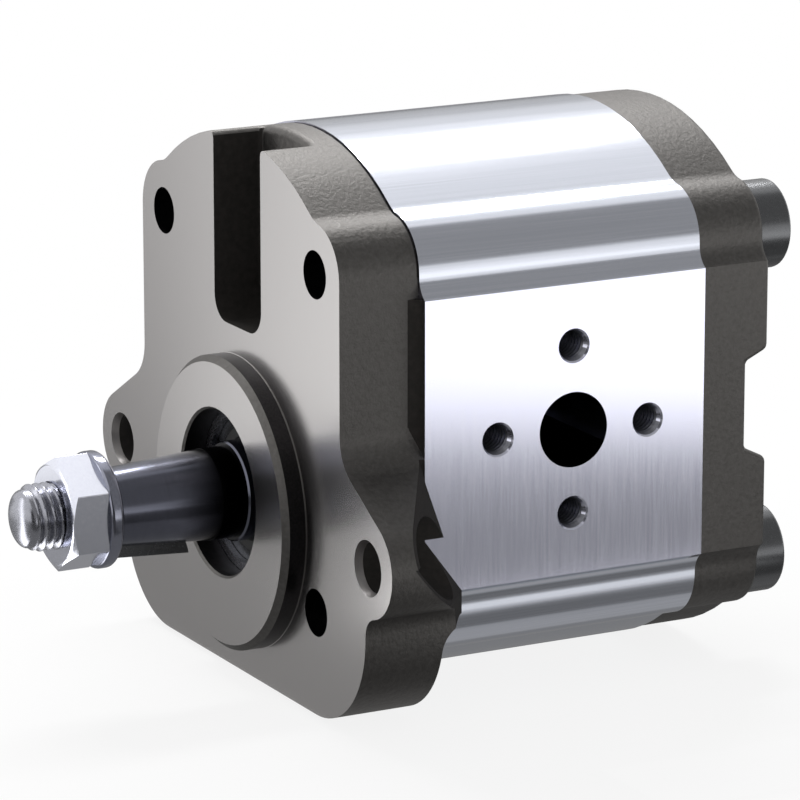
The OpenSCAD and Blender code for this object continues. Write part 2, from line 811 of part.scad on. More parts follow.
module driven_gear_shaft() {
    start_y = front_block_y + shaft_end_gap;
    end_y = rear_y - block_end_gap - shaft_end_gap;
    color(shaft_steel)
        union() {
            turned([
                [0, start_y], [journal_r - past, start_y], [journal_r, start_y + past],
                [journal_r, end_y - past], [journal_r - past, end_y], [0, end_y]
            ], driven_z);
            gear_teeth(driven_z, 270 + 180 / teeth);
        }
}

module shaft_key() {
    color(bolt_steel) key_disc(0);
}

module lock_washer() {
    split = 0.8;
    color(zinc)
        difference() {
            rod(washer_y, washer_t, washer_d, 0, shaft_rise);
            rod(washer_y - past, washer_t + 2 * past, stud_d + 0.2, 0, shaft_rise);
            translate([-washer_d, washer_y - past, shaft_rise - split / 2])
                cube([washer_d, washer_t + 2 * past, split]);
        }
}

module shaft_nut() {
    corner_r = nut_w / sqrt(3);
    face_r = 0.47 * nut_w;
    bevel = (corner_r - face_r) * tan(30);
    color(zinc)
        difference() {
            intersection() {
                translate([0, nut_y, shaft_rise])
                    rotate([-90, 30, 0])
                        cylinder(h = nut_h, r = corner_r, $fn = 6);
                turned([
                    [0, nut_y], [face_r, nut_y], [corner_r, nut_y + bevel],
                    [corner_r, nut_y + nut_h], [0, nut_y + nut_h]
                ], shaft_rise);
            }
            rod(nut_y - past, nut_h + 2 * past, stud_d + 2 * thread_gap, 0, shaft_rise);
        }
}

front_cover();
pump_body();
rear_cover();
through_bolts();
front_dowel_pins();
rear_dowel_pins();
front_body_seal();
rear_body_seal();
front_bearing_block();
rear_bearing_block();
drive_front_bush();
drive_rear_bush();
driven_front_bush();
driven_rear_bush();
front_pressure_seal();
rear_pressure_seal();
front_backup_ring();
rear_backup_ring();
shaft_seal_case();
shaft_seal_lip();
garter_spring();
seal_circlip();
drive_gear_shaft();
shaft_key();
lock_washer();
shaft_nut();
driven_gear_shaft();
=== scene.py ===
import json
import math

import bmesh
import bpy
from mathutils import Matrix, Vector

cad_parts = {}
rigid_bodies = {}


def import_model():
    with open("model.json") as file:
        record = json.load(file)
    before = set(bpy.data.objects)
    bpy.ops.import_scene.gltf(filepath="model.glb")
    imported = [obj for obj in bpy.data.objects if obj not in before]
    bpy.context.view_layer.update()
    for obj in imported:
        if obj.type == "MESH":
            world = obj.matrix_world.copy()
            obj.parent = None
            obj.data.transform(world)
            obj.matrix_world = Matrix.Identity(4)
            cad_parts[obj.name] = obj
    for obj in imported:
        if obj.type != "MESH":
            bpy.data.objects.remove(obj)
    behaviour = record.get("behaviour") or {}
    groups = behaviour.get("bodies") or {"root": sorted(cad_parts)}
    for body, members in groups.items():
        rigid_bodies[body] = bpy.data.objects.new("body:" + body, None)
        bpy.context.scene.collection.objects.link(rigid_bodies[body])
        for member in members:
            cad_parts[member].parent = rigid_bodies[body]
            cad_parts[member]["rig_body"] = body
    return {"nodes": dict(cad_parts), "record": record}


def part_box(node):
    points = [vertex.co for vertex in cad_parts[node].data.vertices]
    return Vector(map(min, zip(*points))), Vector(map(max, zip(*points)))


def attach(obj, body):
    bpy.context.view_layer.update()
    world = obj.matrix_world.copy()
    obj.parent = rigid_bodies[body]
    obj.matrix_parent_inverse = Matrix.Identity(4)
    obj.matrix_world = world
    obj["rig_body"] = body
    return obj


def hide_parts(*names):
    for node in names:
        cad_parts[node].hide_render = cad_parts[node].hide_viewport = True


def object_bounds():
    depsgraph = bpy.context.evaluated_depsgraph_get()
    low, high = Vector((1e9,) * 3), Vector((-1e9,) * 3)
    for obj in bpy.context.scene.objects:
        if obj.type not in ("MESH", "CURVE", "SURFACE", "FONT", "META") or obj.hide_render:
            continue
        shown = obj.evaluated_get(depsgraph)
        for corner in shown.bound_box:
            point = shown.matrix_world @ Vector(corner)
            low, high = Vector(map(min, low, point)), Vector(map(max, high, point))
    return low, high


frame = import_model()
cad_box = [list(corner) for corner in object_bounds()]

# The view
# The photograph was taken with a long lens from the shaft's end, to the right of the pump
# and a little above it. The turn, the rise and the distance were solved from the pump's edges.
mm = 0.001
film_width = 36
lens_length = 221.8
view_end = 20
view_turn = math.radians(62.073)
view_rise = math.radians(14.156)
view_distance = 887.75 * mm
view_target = Vector((0, 32.362, 14.607)) * mm
towards_camera = Vector((
    math.sin(view_turn) * math.cos(view_rise),
    -math.cos(view_turn) * math.cos(view_rise),
    math.sin(view_rise),
))
camera = bpy.data.objects.new("camera", bpy.data.cameras.new("camera"))
camera.data.sensor_width = film_width
camera.data.lens = lens_length
camera.data.clip_end = view_end
camera.location = view_target + view_distance * towards_camera
camera.rotation_euler = towards_camera.to_track_quat("Z", "Y").to_euler()
bpy.context.scene.collection.objects.link(camera)
bpy.context.scene.camera = camera
bpy.context.scene.view_settings.view_transform = "Standard"


# The pump body
# A length of extruded aluminium profile, bored for the gears. Its two port faces are milled,
# and each has a port with four tapped holes round it for a pipe flange.
round_sides = 64
# How far the bolt holes reach from a port's middle, and the radius of its bore, in mm
port_reach = 24
port_bore_r = 10.2
# A tap's length, how deep it starts, and how much slimmer than the hole its core is
tap_length = 14 * mm
tap_start = 12.5 * mm
tap_shrink = 0.05 * mm
# The countersink at a hole's mouth: its extra radius, its depth, and how far its tool stands out
sink_r = 0.6 * mm
sink_l = 0.8 * mm
sink_over = 0.3 * mm
# A thread's rows of points in each turn. Its flanks are this much steeper than from root to
# crest, which leaves a narrow flat at the crest, and root_flat leaves one at the root.
rows_per_turn = 12
flank_steepness = 1.3
root_flat = 0.15
# Points nearer than this are one point, in the CAD mesh and after a cut
same_point = 0.001 * mm
same_point_after_cut = 0.002 * mm
# The bend between two faces: in one plane, curved, sharp enough to round, too sharp to blend
in_plane = math.radians(0.05)
curved = math.radians(0.1)
sharp = math.radians(28)
unblended = math.radians(32)
# The share of a face's direction along an axis above which it mostly or squarely looks that way
mostly = 0.5
squarely = 0.9
# How far behind the port face a face may lie and still be part of it, in mm
port_face_margin = 0.03
# The pressure side takes M6 screws and the suction side M8: pitch and depth of their threads
port_taps = {
    "pressure_port_bolts": (1 * mm, 0.28 * mm),
    "suction_port_bolts": (1.25 * mm, 0.35 * mm),
}


def linear(colour):
    """An sRGB hex colour as the linear red, green, blue and alpha that the shaders take."""
    parts = [int(colour[i:i + 2], 16) / 255 for i in (1, 3, 5)]
    return [p / 12.92 if p <= 0.04045 else ((p + 0.055) / 1.055) ** 2.4 for p in parts] + [1]


def add(tree, kind, settings, links=None):
    """Adds a shader node with its settings, and links its inputs to what feeds them."""
    node = tree.nodes.new("ShaderNode" + kind)
    for key, value in settings.items():
        if isinstance(key, int) or key in node.inputs:
            node.inputs[key].default_value = value
        else:
            setattr(node, key, value)
    for key, source in (links or {}).items():
        tree.links.new(source, node.inputs[key])
    return node


def surfaced(name, colours, roughness, grain, relief, stretch=(1, 1, 1), metallic=1.0):
    """A material whose colour, roughness and height vary with the marks of how it was made.

    colours are its darker and lighter hex values, roughness its least and most, grain the
    width of its marks and relief their height in metres. stretch is how many times longer
    than that the marks are along X, Y and Z. Most of the noise lies from faint to strong.
    """
    faint, strong = 0.3, 0.7
    material = bpy.data.materials.new(name)
    material.use_nodes = True
    tree = material.node_tree
    surface = tree.nodes["Principled BSDF"]
    surface.inputs["Metallic"].default_value = metallic
    place = add(tree, "TexCoord", {})
    scaled = add(tree, "Mapping", {"Scale": [1 / (grain * s) for s in stretch]},
                 {"Vector": place.outputs["Object"]})
    marks = add(tree, "TexNoise", {"Scale": 1, "Detail": 4, "Roughness": 0.6},
                {"Vector": scaled.outputs["Vector"]})
    tint = add(tree, "ValToRGB", {}, {"Fac": marks.outputs["Fac"]})
    for stop, at, colour in zip(tint.color_ramp.elements, (faint, strong), colours):
        stop.position = at
        stop.color = linear(colour)
    gloss = add(tree, "MapRange", {"From Min": faint, "From Max": strong,
                                   "To Min": roughness[0], "To Max": roughness[1]},
                {"Value": marks.outputs["Fac"]})
    bump = add(tree, "Bump", {"Strength": 1, "Distance": relief},
               {"Height": marks.outputs["Fac"]})
    tree.links.new(tint.outputs["Color"], surface.inputs["Base Color"])
    tree.links.new(gloss.outputs["Result"], surface.inputs["Roughness"])
    tree.links.new(bump.outputs["Normal"], surface.inputs["Normal"])
    return material


def loose_mesh(node):
    """The CAD node's mesh with its split points joined and its flat faces made whole."""
    mesh = bmesh.new()
    mesh.from_mesh(frame["nodes"][node].data)
    bmesh.ops.remove_doubles(mesh, verts=mesh.verts, dist=same_point)
    bmesh.ops.dissolve_limit(mesh, angle_limit=in_plane, verts=mesh.verts, edges=mesh.edges)
    return mesh


def sharp_edges(mesh, choose):
    """The sharp edges whose two ends both pass the test, which gets their places in mm."""
    return [e for e in mesh.edges if e.is_manifold and e.calc_face_angle(0) > sharp
            and all(choose(v.co / mm) for v in e.verts)]


def round_edges(mesh, edges, width, steps=2):
    """Rounds the given edges, so that they catch the light as real edges do."""
    if edges:
        bmesh.ops.bevel(mesh, geom=edges, offset=width, segments=steps, profile=0.5,
                        affect="EDGES", clamp_overlap=False, material=-1)


def piece_from(mesh, name, node, materials, choose=None):
    """Makes the mesh a piece that stands for a CAD node and rides on that node's body.

    choose gives the finish of a face, which is one of the materials. Without it, the whole
    piece has the first of them.
    """
    mesh.normal_update()
    for face in mesh.faces:
        face.material_index = materials.index(choose(face)) if choose else 0
    for edge in mesh.edges:
        one_finish = len({f.material_index for f in edge.link_faces}) == 1
        edge.smooth = one_finish and edge.calc_face_angle(math.pi) < unblended
    for face in mesh.faces:
        face.smooth = any(e.smooth and e.calc_face_angle(0) > curved for e in face.edges)
    data = bpy.data.meshes.new(name)
    mesh.to_mesh(data)
    mesh.free()
    for material in materials:
        data.materials.append(material)
    piece = bpy.data.objects.new(name, data)
    bpy.context.scene.collection.objects.link(piece)
    even = piece.modifiers.new("even_shading", "WEIGHTED_NORMAL")
    even.keep_sharp = True
    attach(piece, frame["nodes"][node]["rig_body"])
    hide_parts(node)
    return piece


def thread_rod(root_r, crest_r, pitch, length, end_r=None):
    """A closed threaded rod along +Z. end_r gives its largest radius at a distance from its start."""
    rows = math.ceil(length / pitch * rows_per_turn)
    mesh = bmesh.new()
    rings = []
    for row in range(rows + 1):
        z = length * row / rows
        limit = end_r(z) if end_r else crest_r
        ring = []
        for column in range(round_sides):
            turn = column / round_sides
            ridge = 1 - abs(2 * ((z / pitch - turn) % 1) - 1)
            flank = min(1, max(0, flank_steepness * ridge - root_flat))
            radius = min(limit, root_r + (crest_r - root_r) * flank)
            angle = 2 * math.pi * turn
            ring.append(mesh.verts.new((radius * math.cos(angle), radius * math.sin(angle), z)))
        rings.append(ring)
    for low, high in zip(rings, rings[1:]):
        for i in range(round_sides):
            j = (i + 1) % round_sides
            mesh.faces.new((low[i], low[j], high[j], high[i]))
    mesh.faces.new(reversed(rings[0]))
    mesh.faces.new(rings[-1])
    return mesh


def placed(mesh, place):
    """An object that only lends its mesh to a cut, moved to its place."""
    mesh.transform(place)
    data = bpy.data.meshes.new("cutter")
    mesh.to_mesh(data)
    mesh.free()
    cutter = bpy.data.objects.new("cutter", data)
    bpy.context.scene.collection.objects.link(cutter)
    return cutter


def cut(mesh, cutters, operation="DIFFERENCE"):
    """Cuts the mesh with the cutters, or joins them to it, and gives the new mesh."""
    host = placed(mesh, Matrix.Identity(4))
    for cutter in cutters:
        step = host.modifiers.new("cut", "BOOLEAN")
        step.operation = operation
        step.solver = "MANIFOLD"
        step.object = cutter
    bpy.context.view_layer.update()
    result = bmesh.new()
    result.from_object(host, bpy.context.evaluated_depsgraph_get())
    for used in [host] + cutters:
        bpy.data.objects.remove(used)
    bmesh.ops.remove_doubles(result, verts=result.verts, dist=same_point_after_cut)
    return result


def middle(face):
    """The middle of the face, in mm."""
    return face.calc_center_median() / mm


def reach(face, x, z):
    """How far the face reaches from the axis along Y at that place, in mm."""
    return max(math.hypot(v.co.x / mm - x, v.co.z / mm - z) for v in face.verts)


def mount(name):
    """The place, direction and sizes of the record's mount of that name."""
    found = [m for m in frame["record"]["mounts"] if m["name"] == name][0]
    return Vector(found["pos_m"]), Vector(found["axis"]), found["dims"]


body_low, body_high = [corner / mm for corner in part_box("pump_body")]
port_place = mount("pressure_port")[0] / mm
body_mesh = loose_mesh("pump_body")
taps = []
for port, (pitch, depth) in port_taps.items():
    centre, outwards, dims = mount(port)
    for number in range(dims["count"]):
        core = dims["hole_r_mm"] * mm
        tap = thread_rod(core - tap_shrink, core + depth, pitch, tap_length)
        turn = Matrix.Rotation(number * math.pi / 2, 4, "X")
        aim = outwards.to_track_quat("Z", "Y").to_matrix().to_4x4()
        lift = Matrix.Translation(turn @ Vector((0, dims["pcd_mm"] / 2 * mm, 0)))
        taps.append(placed(tap, Matrix.Translation(centre - tap_start * outwards) @ lift @ aim))
        sink = bmesh.new()
        bmesh.ops.create_cone(sink, cap_ends=True, segments=round_sides,
                              radius1=core - tap_shrink, radius2=core + sink_r + sink_over,
                              depth=sink_l + sink_over)
        mouth = centre + (sink_over - sink_l) / 2 * outwards
        taps.append(placed(sink, Matrix.Translation(mouth) @ lift @ aim))
body_mesh = cut(body_mesh, taps)

# Extruded aluminium is drawn through a die, which leaves fine lines along it: its highlights
# are crisp across the pump and drawn out along it. The lines are a few hundredths of a
# millimetre wide, and are drawn 0.3 mm wide to show.
extruded_aluminium = surfaced("extruded_aluminium", ("#d1d5df", "#dbdee8"), roughness=(0.15, 0.21),
                              grain=0.3 * mm, relief=0.0012 * mm, stretch=(1, 200, 1))
# A milled face carries the cutter's close marks, so it mirrors softly and evenly. The marks are
# about 0.1 mm wide, and are drawn 0.4 mm wide to show.
milled_aluminium = surfaced("milled_aluminium", ("#e6e7f8", "#ecedfc"), roughness=(0.18, 0.21),
                            grain=0.4 * mm, relief=0.0003 * mm, stretch=(1, 1, 30))
# The tapped holes are painted greyer and the port's bore nearly black, as painted shade in the
# recesses.
# The torn chips that a tap leaves are about 0.3 mm wide.
tapped_aluminium_painted_shade = surfaced("tapped_aluminium_painted_shade", ("#85868d", "#9c9da4"), roughness=(0.3, 0.4),
                            grain=0.3 * mm, relief=0.003 * mm)
port_bore_painted_shade = surfaced("port_bore_painted_shade", ("#18181a", "#212123"), roughness=(0.3, 0.4),
                           grain=0.3 * mm, relief=0.003 * mm)


def body_finish(face):
    """The finish of a face of the body, by where it lies and which way it looks."""
    centre = middle(face)
    on_port_face = abs(centre.x) > body_high.x - port_face_margin
    if on_port_face or abs(face.normal.y) > squarely:
        return milled_aluminium
    out_of_port = math.hypot(centre.y - port_place.y, centre.z - port_place.z)
    # Painted shade: the port's bore nearly black, and its tapped holes greyer
    if out_of_port < port_bore_r:
        return port_bore_painted_shade
    if out_of_port < port_reach:
        near_mouth = abs(centre.x) > body_high.x - sink_l / mm
        in_sink = near_mouth and abs(face.normal.x) > mostly
        return milled_aluminium if in_sink else tapped_aluminium_painted_shade
    return extruded_aluminium


piece_from(body_mesh, "body", "pump_body",
           [extruded_aluminium, milled_aluminium, tapped_aluminium_painted_shade, port_bore_painted_shade], body_finish)


# The front cover
# A grey iron casting with two ears for the mounting bolts. Its flange face, spigot and bores are
# turned and milled, and the rest keeps the rough skin of the sand mould.
slot_edge = 1.5 * mm
seam_edge = 0.35 * mm
spigot_fillet = 0.16 * mm
# The crown's radius, where the slot's mouth ends in front of the body, and how far above the
# ports the seam is rounded, in mm
crown_r = 49.2
slot_mouth_end = 3
seam_rise = 28
# How near to a plane, the crown, a circle or the spigot's wall a point counts as on it, in mm
on_plane = 0.01
on_crown_line = 0.05
on_circle = 0.1
on_spigot_wall = 0.15
# Where one finish gives way to the next on the cover, in mm
bore_mouth = 0.5
seal_bore_r = 16
bolt_hole_r = 5.2
foot_l = 0.17
countersink_r = 5.15
countersink_l = 1.5
slot_half = 9.4
slot_foot_z = 31
slot_depth = 9.7
ear_thickness = 5.9
rib_inner_x = 41.6
scallop_r = 7.6
rib_fillet = 0.6
flange_margin = 0.02
ear_hole_margin = 0.02
waist_x = 38
waist_start = 13
waist_half = 29.6
# How much a face leans back towards the body behind the ears, and beside the ribs
seam_lean = 0.2
rib_lean = 0.3

# Cast iron keeps the grain of the moulding sand under a dark oxide skin. Sand of about 0.3 mm
# is drawn 0.9 mm wide, so that the skin shows its orange peel.
cast_iron = surfaced("cast_iron_skin", ("#5e5c5a", "#6d6b69"), roughness=(0.48, 0.56),
                     grain=0.9 * mm, relief=0.13 * mm)
# Cut iron is a warm light grey, and its graphite keeps it satin. The tool moved on by about
# 0.25 mm with each turn.
cut_iron = surfaced("milled_cast_iron", ("#cfcccb", "#d6d3d2"), roughness=(0.22, 0.25),
                    grain=0.25 * mm, relief=0.0002 * mm)
# The countersinks and the steps of the bore were cut in one plunge and are rougher.
drilled_iron = surfaced("countersunk_iron", ("#a19e9d", "#aba8a7"), roughness=(0.38, 0.46),
                        grain=0.3 * mm, relief=0.002 * mm)
# Turned walls such as the spigot's are nearly black. The bores and bolt holes are painted nearly black
# too, as painted shade. Their fine rings are drawn 0.4 mm wide to show.
dark_wall_and_bore_shade_iron = surfaced("dark_turned_iron_with_painted_bore_shade", ("#2c2b2c", "#383637"), roughness=(0.3, 0.4),
                      grain=0.4 * mm, relief=0.002 * mm)
# Painted shade: the slot's walls, the ear holes, the seam behind the ears, the backs of the ears and
# the waist are painted nearly black where shade falls, with little shine. It is drawn in patches of
# about a millimetre.
painted_shade_specular = 0.2
painted_shade_iron = surfaced("iron_in_painted_shade", ("#262422", "#312e2c"), roughness=(0.8, 0.9),
                      grain=1.3 * mm, relief=0.05 * mm, metallic=0)
painted_shade_surface = painted_shade_iron.node_tree.nodes["Principled BSDF"]
painted_shade_surface.inputs["Specular IOR Level"].default_value = painted_shade_specular

cover_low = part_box("front_cover")[0] / mm
bolt_low, bolt_high = [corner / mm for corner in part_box("through_bolts")]
bolt_head_r = 8
bolt_places = [(x, z) for x in (bolt_low.x + bolt_head_r, bolt_high.x - bolt_head_r)
               for z in (bolt_low.z + bolt_head_r, bolt_high.z - bolt_head_r)]
shaft_z = frame["record"]["behaviour"]["joints"][0]["pos_m"][2] / mm
pilot_r = mount("pilot")[2]["r_mm"]
ear_holes = mount("mounting_holes")[2]
ear_places = [(side * ear_holes["spacing_x_mm"] / 2, 0) for side in (-1, 1)]
ear_hole_r = ear_holes["hole_r_mm"] + ear_hole_margin
cover_mesh = loose_mesh("front_cover")


def beside(point, places, radius, margin=on_circle):
    """True where the point is at that radius from the axis of one of the places."""
    return any(abs(math.hypot(point.x - x, point.z - z) - radius) < margin for x, z in places)


def within(face, places, radius):
    """True where the whole face is inside that radius round the axis of one of the places."""
    return any(reach(face, x, z) < radius for x, z in places)


def on_crown(point):
    """True where the point is on the round upper side that the cover shares with the body."""
    return abs(math.hypot(point.x, point.z - port_place.z) - crown_r) < on_crown_line


slot_mouth = sharp_edges(cover_mesh, lambda p: on_crown(p) and abs(p.x) < slot_half
                         and p.y < body_low.y - slot_mouth_end)
round_edges(cover_mesh, slot_mouth, slot_edge, steps=4)
seam = sharp_edges(cover_mesh, lambda p: abs(p.y - body_low.y) < on_plane
                   and p.z > port_place.z + seam_rise)
round_edges(cover_mesh, seam, seam_edge, steps=3)
spigot_foot = sharp_edges(cover_mesh, lambda p: abs(p.y) < on_plane
                          and beside(p, [(0, 0)], pilot_r))
round_edges(cover_mesh, spigot_foot, spigot_fillet)


def cover_finish(face):
    """The finish of a face of the cover. Faces that lie in shade get painted shade."""
    centre = middle(face)
    normal = face.normal
    across_axis = abs(normal.y) < mostly
    in_bore = within(face, [(0, shaft_z)], seal_bore_r) and centre.y > cover_low.y + bore_mouth
    on_spigot = beside(centre, [(0, 0)], pilot_r, on_spigot_wall) and centre.y < -foot_l
    if in_bore and not across_axis:
        return drilled_iron
    # Painted shade in the bores and bolt holes, and the spigot's dark turned wall
    if in_bore or across_axis and (on_spigot or within(face, bolt_places, bolt_hole_r)):
        return dark_wall_and_bore_shade_iron
    # Painted shade on the ear holes, the seam, the slot's walls, the backs of the ears and the waist
    if across_axis and within(face, ear_places, ear_hole_r):
        return painted_shade_iron
    if centre.y < countersink_l and within(face, ear_places, countersink_r):
        return drilled_iron
    if cover_low.y + on_plane < centre.y < -foot_l:
        return cast_iron
    at_seam = centre.y > body_low.y - seam_edge / mm and normal.y > seam_lean
    if at_seam and abs(centre.x) < rib_inner_x - rib_fillet:
        return painted_shade_iron
    if centre.y < flange_margin and normal.y < -mostly:
        return cut_iron
    in_slot = abs(centre.x) < slot_half and centre.z > slot_foot_z and centre.y < slot_depth
    if in_slot and normal.y > -squarely and not on_crown(centre):
        return painted_shade_iron
    if centre.y > ear_thickness:
        faces_back = normal.y > rib_lean or centre.x * normal.x < 0
        if abs(centre.x) > rib_inner_x and faces_back or within(face, ear_places, scallop_r):
            return painted_shade_iron
    in_waist = waist_x < abs(centre.x) < rib_inner_x and abs(centre.z - port_place.z) < waist_half
    return painted_shade_iron if in_waist and centre.y > waist_start else cast_iron


piece_from(cover_mesh, "cover_with_ears", "front_cover",
           [cast_iron, cut_iron, dark_wall_and_bore_shade_iron, painted_shade_iron, drilled_iron], cover_finish)


# The rear cover
# A grey iron casting of the body's outline, milled where it seals on the body, with a pocket
# in each side. The four long bolts pass through it.
rear_edge = 0.9 * mm
# The sealing face and the bolt holes keep sharp edges: how far from the one, and the radius
rear_seal_margin = 0.1
rear_bolt_hole_r = 5.3
rear_low, rear_high = [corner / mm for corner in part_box("rear_cover")]
rear_mesh = loose_mesh("rear_cover")
rear_outline = sharp_edges(rear_mesh, lambda p: p.y > rear_low.y + rear_seal_margin
                           and not beside(p, bolt_places, rear_bolt_hole_r))
round_edges(rear_mesh, rear_outline, rear_edge, steps=3)
piece_from(rear_mesh, "closing_cover", "rear_cover", [cast_iron])


# The through bolts
# Four M10 socket-head bolts of blackened steel, which hold the covers on the body.
bolt_head_edge = 0.6 * mm
head_foot = 1
# Black oxide is a thin dark film, so the steel still shines through it as satin. Its fine
# crystals are drawn 0.6 mm wide to show.
black_steel = surfaced("black_oxide_steel", ("#6a6b6d", "#6f7072"), roughness=(0.25, 0.28),
                       grain=0.6 * mm, relief=0.0002 * mm)
bolt_mesh = loose_mesh("through_bolts")
head_edges = sharp_edges(bolt_mesh, lambda p: p.y > rear_high.y + head_foot)
round_edges(bolt_mesh, head_edges, bolt_head_edge, steps=3)
piece_from(bolt_mesh, "long_bolts", "through_bolts", [black_steel])


# The drive shaft
# Hardened and ground steel: the gear, both journals, the 1:8 taper and the threaded stud are
# turned and hobbed from one bar.
stud_pitch = 1.5 * mm
stud_r = 5.99 * mm
thread_depth = 0.92 * mm
# The thread ends this far inside the nut, in mm. The plain end that it takes the place of is
# cut off with a wider tool, which starts a little in front of it.
stud_stop = 1
blank_r = 7 * mm
blank_over = 0.5 * mm
# The stud's rounded end: its radius and length, how full its curve is, and its flat tip
dome_r = 5.2 * mm
dome_l = 2.3 * mm
dome_fullness = 2.5
dome_tip_r = 0.4 * mm
# Where the painted shade towards the seal's bore begins and is full, and the share of the steel's
# colour that it leaves
taper_shade_start = -16 * mm
taper_shade_end = -6.5 * mm
taper_shade_share = 0.06
# Where the journal's chamfer lies and how far it leans, and where the gear lies, in mm
chamfer_start = -2.39
chamfer_end = -2.05
chamfer_least_lean = 0.3
chamfer_most_lean = 0.95
gear_start = 34
gear_end = 55
# Ground steel is dark and bluish under its polish, with crisp lights along the shaft. The
# scratches run round the shaft, and are drawn 0.2 mm wide to show.
ground_look = {"colours": ("#62646f", "#6c6e7a"), "roughness": (0.19, 0.24),
               "grain": 0.2 * mm, "relief": 0.0008 * mm, "stretch": (20, 1, 20)}
ground_steel = surfaced("ground_steel", **ground_look)
# The rolled stud is brighter, as rolling burnishes the steel. The rollers' marks are drawn
# 0.3 mm wide to show.
rolled_steel = surfaced("rolled_thread_steel", ("#9c9da5", "#aeafb7"), roughness=(0.24, 0.3),
                        grain=0.3 * mm, relief=0.0006 * mm)
# The teeth run wet with oil and are darker still. The hob's marks are drawn 0.3 mm wide.
oil_wet_steel = surfaced("oil_wet_gear_steel", ("#3c3d42", "#47484e"), roughness=(0.12, 0.18),
                         grain=0.3 * mm, relief=0.0008 * mm)
# Painted shade blackens the last millimetres of the taper, and the neck behind it, towards the seal's
# dark bore.
taper_steel_in_painted_shade = surfaced("taper_steel_with_painted_shade", **ground_look)
taper_shade_tree = taper_steel_in_painted_shade.node_tree
clean_colour = taper_shade_tree.nodes["Color Ramp"].outputs["Color"]
taper_shade_place = add(taper_shade_tree, "TexCoord", {})
along = add(taper_shade_tree, "SeparateXYZ", {}, {"Vector": taper_shade_place.outputs["Object"]})
taper_shade = add(taper_shade_tree, "MapRange", {"interpolation_type": "SMOOTHSTEP",
                                       "From Min": taper_shade_start, "From Max": taper_shade_end,
                                       "To Min": 1, "To Max": taper_shade_share},
             {"Value": along.outputs["Y"]})
taper_shaded = add(taper_shade_tree, "VectorMath", {"operation": "SCALE"},
              {0: clean_colour, "Scale": taper_shade.outputs["Result"]})
taper_shade_surface = taper_shade_tree.nodes["Principled BSDF"]
taper_shade_tree.links.new(taper_shaded.outputs["Vector"], taper_shade_surface.inputs["Base Color"])
shaft_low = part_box("drive_gear_shaft")[0] / mm
nut_low, nut_high = [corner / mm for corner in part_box("shaft_nut")]
shaft_mesh = loose_mesh("drive_gear_shaft")
along_shaft = Matrix.Rotation(-math.pi / 2, 4, "X")
stud_l = (nut_high.y - stud_stop - shaft_low.y) * mm


def dome(z):
    """Radius of the stud's rounded end at a distance from its tip."""
    if z > dome_l:
        return dome_r + (z - dome_l)
    return max(dome_tip_r, dome_r * (1 - (1 - z / dome_l) ** dome_fullness) ** (1 / dome_fullness))


shaft_tip = Vector((0, shaft_low.y, shaft_z)) * mm
blank = bmesh.new()
bmesh.ops.create_cone(blank, cap_ends=True, segments=round_sides, radius1=blank_r,
                      radius2=blank_r, depth=stud_l)
blank_place = Matrix.Translation(shaft_tip + Vector((0, stud_l / 2 - blank_over, 0)))
shaft_mesh = cut(shaft_mesh, [placed(blank, blank_place @ along_shaft)])
stud = thread_rod(stud_r - thread_depth, stud_r, stud_pitch, stud_l, dome)
stud_place = Matrix.Translation(shaft_tip)
shaft_mesh = cut(shaft_mesh, [placed(stud, stud_place @ along_shaft)], "UNION")


def shaft_finish(face):
    """The finish of a face of the shaft, by where it lies along the pump's axis."""
    y = middle(face).y
    leans = chamfer_least_lean < abs(face.normal.y) < chamfer_most_lean
    on_chamfer = chamfer_start < y < chamfer_end and leans
    if y < nut_high.y:
        return rolled_steel
    # Painted shade on the taper's end and the neck
    if y < 0 and not on_chamfer:
        return taper_steel_in_painted_shade
    return oil_wet_steel if gear_start < y < gear_end else ground_steel


piece_from(shaft_mesh, "keyed_gear_shaft", "drive_gear_shaft",
           [ground_steel, rolled_steel, taper_steel_in_painted_shade, oil_wet_steel], shaft_finish)


# The shaft nut
# A hexagon nut of zinc-plated steel, chamfered on its outer face only.
nut_edge = 0.1 * mm
# Only the six long corners are rounded: how near to the widest radius, and how long at least
nut_corner_margin = 0.1
nut_corner_l = 3 * mm
# Bright zinc is bluish and mirrors like worn silver. Its crystals are too fine to see, and the
# marks of the forging under it are drawn 0.4 mm wide.
zinc_plate = surfaced("bright_zinc_plate", ("#e4e6f2", "#eceef8"), roughness=(0.16, 0.2),
                      grain=0.4 * mm, relief=0.0008 * mm)
nut_mesh = loose_mesh("shaft_nut")
nut_corner_r = (nut_high.x - nut_low.x) / 2 - nut_corner_margin


def length_along_y(edge):
    """How far apart the ends of the edge are along the pump's axis."""
    return abs((edge.verts[0].co - edge.verts[1].co).y)


nut_corners = sharp_edges(nut_mesh, lambda p: math.hypot(p.x, p.z - shaft_z) > nut_corner_r)
nut_corners = [e for e in nut_corners if length_along_y(e) > nut_corner_l]
round_edges(nut_mesh, nut_corners, nut_edge)
piece_from(nut_mesh, "hexagon_nut", "shaft_nut", [zinc_plate])


# The lock washer
# A split ring of zinc-plated spring steel, coiled from round-edged wire.
washer_edge = 0.7 * mm
washer_rim_l = 1 * mm
washer_low, washer_high = [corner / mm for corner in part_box("lock_washer")]
washer_r = (washer_high.z - washer_low.z) / 2
washer_mesh = loose_mesh("lock_washer")
washer_rims = sharp_edges(washer_mesh, lambda p: beside(p, [(0, shaft_z)], washer_r))
washer_rims = [e for e in washer_rims if length_along_y(e) < washer_rim_l]
round_edges(washer_mesh, washer_rims, washer_edge, steps=4)
